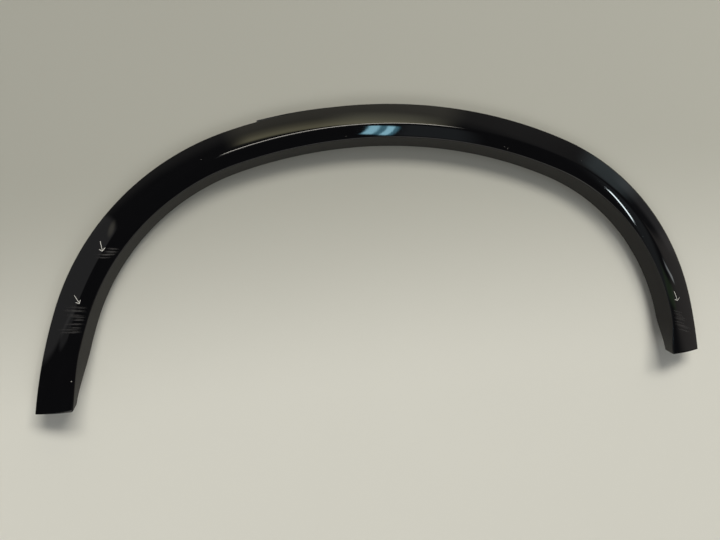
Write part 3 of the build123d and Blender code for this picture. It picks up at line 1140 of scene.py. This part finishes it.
CARDS = {
    "key_lamp": Card(5.0, 43.5, 26.0, 6.0, 0.0, 0.06, 0.2, 0.2, 17.5, (1.0, 0.95, 0.85)),
    "back_ceiling": Card(4.5, 66.0, 25.0, 18.0, 0.0, 0.1, 0.4, 0.4, 0.9, (1.0, 0.99, 0.97)),
    "glow_low": Card(3.8, 18.5, 21.5, 12.0, 0.0, 0.15, 0.2, 0.5, 0.38, (1.0, 0.94, 0.70)),
    "glow_high": Card(4.5, 29.35, 20.5, 2.3, 4.0, 0.12, 0.35, 1.5, 0.9, (1.0, 0.92, 0.56)),
    "glow_top": Card(4.5, 30.6, 20.5, 1.05, 4.0, 0.12, 0.7, 2.0, 0.62, (1.0, 0.92, 0.56)),
    "glow_right": Card(13.0, 28.0, 9.5, 5.0, 0.0, 0.6, 0.5, 0.6, 0.7, (1.0, 0.98, 0.72)),
    "low_wall": Card(-6.0, 9.0, 57.0, 14.0, 0.0, 0.3, 0.35, 0.35, 0.15, (1.0, 0.95, 0.88)),
    "left_wall": Card(-75.3, 26.0, 16.5, 22.0, 20.0, 0.06, 0.0, 0.0, 0.29, (1.0, 0.99, 0.98), True),
    "left_corner": Card(-89.6, 43.2, 2.6, 3.3, 0.0, 0.25, 0.0, 0.0, 0.2, (1.0, 0.99, 0.98), True),
    "left_edge": Card(-61.9, 33.4, 3.8, 1.0, 126.0, 0.6, 0.0, 0.0, 0.5, (1.0, 0.93, 0.70), True),
    "right_sheen": Card(59.0, 6.0, 7.0, 9.0, 0.0, 0.5, 0.4, 0.4, 0.40, (0.75, 0.95, 1.0)),
    "right_low": Card(71.0, 3.0, 9.0, 5.0, 0.0, 0.4, 0.5, 0.5, 0.18, (1.0, 0.98, 0.98)),
    "right_wall": Card(89.0, 14.0, 11.0, 17.0, 0.0, 0.25, 0.3, 0.3, 0.25, (1.0, 0.92, 0.84)),
    "right_streak": Card(87.2, 26.0, 0.7, 8.0, 0.0, 0.6, 0.3, 0.3, 2.5, (0.92, 0.98, 1.0)),
    "right_green": Card(91.2, 37.0, 1.5, 7.0, 0.0, 0.5, 0.4, 0.4, 0.27, (0.6, 1.0, 0.45)),
    "side_haze": Card(92.0, 52.0, 10.0, 8.0, 0.0, 0.6, 0.6, 0.6, 0.18, (0.85, 0.95, 1.0)),
    "roof_window": Card(115.4, 74.98, 6.1, 1.08, -5.4, 0.2, 0.15, 0.15, 3.2, (0.28, 0.76, 1.0)),
    "left_pane": Card(115.4, 75.62, 6.1, 0.38, -5.4, 0.2, 0.4, 0.4, 7.5, (0.48, 0.85, 1.0)),
    "right_pane": Card(115.4, 74.46, 6.1, 0.26, -5.4, 0.2, 0.4, 0.4, 8.0, (0.48, 0.85, 1.0)),
    "window_sill": Card(112.0, 71.8, 9.0, 2.2, -5.4, 0.4, 0.3, 0.5, 0.22, (0.82, 0.93, 1.0)),
    "side_tube": Card(95.5, 58.5, 1.4, 1.05, 31.5, 0.2, 0.15, 0.15, 25.0, (0.86, 0.97, 1.0)),
    "front_left": Card(-145.0, 54.0, 25.0, 15.0, 0.0, 0.25, 0.3, 0.3, 1.3, (1.0, 0.97, 0.90)),
    "front_right": Card(150.0, 54.0, 22.0, 15.0, 0.0, 0.25, 0.3, 0.3, 1.3, (1.0, 0.97, 0.90)),
}


def card_cover(tree, card, bearing):
    """How much of a direction a card covers: 1 on it, fading to 0 off it."""
    azimuth, elevation, half_width, half_height, turn = (math.radians(value) for value in card[:5])
    inputs = {
        "Vector": bearing, "Location": (azimuth, elevation, 0.0), "Rotation": (0.0, 0.0, turn),
        "Scale": (half_width, half_height, 1.0),
    }
    spot = tree.add("Mapping", inputs, vector_type="TEXTURE").outputs["Vector"]
    if card.oval:
        reach = tree.add("VectorMath", {0: spot}, operation="LENGTH").outputs["Value"]
        return tree.fade(reach, card.sides)
    axes = tree.add("SeparateXYZ", {"Vector": spot}).outputs
    sides = tree.fade(tree.math("ABSOLUTE", axes["X"]), card.sides)
    top = tree.fade(axes["Y"], card.top)
    bottom = tree.fade(tree.math("MULTIPLY", axes["Y"], -1.0), card.bottom)
    return tree.math("MULTIPLY", sides, tree.math("MULTIPLY", top, bottom))


def add_room(stage):
    """The room round the trim: even dim light and the soft panels."""
    world = bpy.data.worlds.new("room")
    tree = NodeTree(world)
    direction = tree.add("SeparateXYZ", {"Vector": tree.add("TexCoord").outputs["Generated"]}).outputs
    azimuth = tree.math("ARCTAN2", direction["X"], direction["Y"])
    elevation = tree.math("ARCSINE", direction["Z"])
    bearing = tree.add("CombineXYZ", {"X": azimuth, "Y": elevation}).outputs["Vector"]
    total = tuple(stage.room_light)
    for card in CARDS.values():
        cover = card_cover(tree, card, bearing)
        light = tuple(card.radiance * channel for channel in card.tint)
        glow = tree.add("VectorMath", {0: light, "Scale": cover}, operation="SCALE").outputs[0]
        total = tree.add("VectorMath", {0: total, 1: glow}, operation="ADD").outputs[0]
    tree.set(tree.nodes["Background"], "Color", total)
    bpy.context.scene.world = world


def add_camera(stage):
    """The camera, at the photograph's place and angle."""
    eye = Vector(stage.camera_eye)
    forward = (Vector(stage.camera_target) - eye).normalized()
    level = forward.cross(Vector((0.0, 1.0, 0.0))).normalized()
    down = forward.cross(level)
    turn = stage.camera_roll
    right = level * math.cos(turn) + down * math.sin(turn)
    up = -(down * math.cos(turn) - level * math.sin(turn))
    data = bpy.data.cameras.new("photo_camera")
    data.sensor_width = SENSOR_WIDTH
    data.lens = stage.focal_pixels * SENSOR_WIDTH / PHOTO_WIDTH
    data.clip_start = CLIP_START
    camera = bpy.data.objects.new("photo_camera", data)
    rotation = Matrix((right, up, -forward)).transposed().to_4x4()
    camera.matrix_world = Matrix.Translation(eye) @ rotation
    bpy.context.scene.collection.objects.link(camera)
    bpy.context.scene.camera = camera


FLOOR_HALF = 6.0


class ARCHTRIM_OT_stage(bpy.types.Operator):
    """Builds the pale floor, the soft light and the camera"""

    bl_idname = "archtrim.stage"
    bl_label = "Stage"

    def execute(self, context):
        _, finishes, stage = settings()
        signs = ((-1, -1), (1, -1), (1, 1), (-1, 1))
        corners = [(FLOOR_HALF * across, FLOOR_HALF * along, 0.0) for across, along in signs]
        mesh = bpy.data.meshes.new("floor")
        mesh.from_pydata(corners, [], [(0, 1, 2, 3)])
        mesh.materials.append(painted_shade_paper_finish(finishes))
        floor = bpy.data.objects.new("floor", mesh)
        context.scene.collection.objects.link(floor)
        add_room(stage)
        add_camera(stage)
        context.scene.view_settings.view_transform = "Standard"
        return {"FINISHED"}


class ARCHTRIM_PT_panel(bpy.types.Panel):
    """Lists the operators that build the trim"""

    bl_idname = "ARCHTRIM_PT_panel"
    bl_label = "Wheel Arch Trim"
    bl_space_type = "VIEW_3D"
    bl_region_type = "UI"
    bl_category = "Arch Trim"

    def draw(self, context):
        for operator in OPERATORS:
            self.layout.operator(operator.bl_idname)


OPERATORS = (
    ARCHTRIM_OT_moulding, ARCHTRIM_OT_clips, ARCHTRIM_OT_pen_marks, ARCHTRIM_OT_wear, ARCHTRIM_OT_stage,
)
CLASSES = (ArchSizes, TrimFinishes, StageSettings) + OPERATORS + (ARCHTRIM_PT_panel,)


def register():
    """Registers the classes and hangs the settings on the scene."""
    for item in CLASSES:
        bpy.utils.register_class(item)
    bpy.types.Scene.arch_sizes = PointerProperty(type=ArchSizes)
    bpy.types.Scene.trim_finishes = PointerProperty(type=TrimFinishes)
    bpy.types.Scene.stage_settings = PointerProperty(type=StageSettings)


def unregister():
    """Takes the settings off the scene and unregisters the classes."""
    del bpy.types.Scene.stage_settings
    del bpy.types.Scene.trim_finishes
    del bpy.types.Scene.arch_sizes
    for item in reversed(CLASSES):
        bpy.utils.unregister_class(item)


def main():
    """Builds everything in order."""
    register()
    bpy.ops.archtrim.moulding()
    bpy.ops.archtrim.clips()
    bpy.ops.archtrim.pen_marks()
    bpy.ops.archtrim.wear()
    bpy.ops.archtrim.stage()


if __name__ == "__main__":
    main()
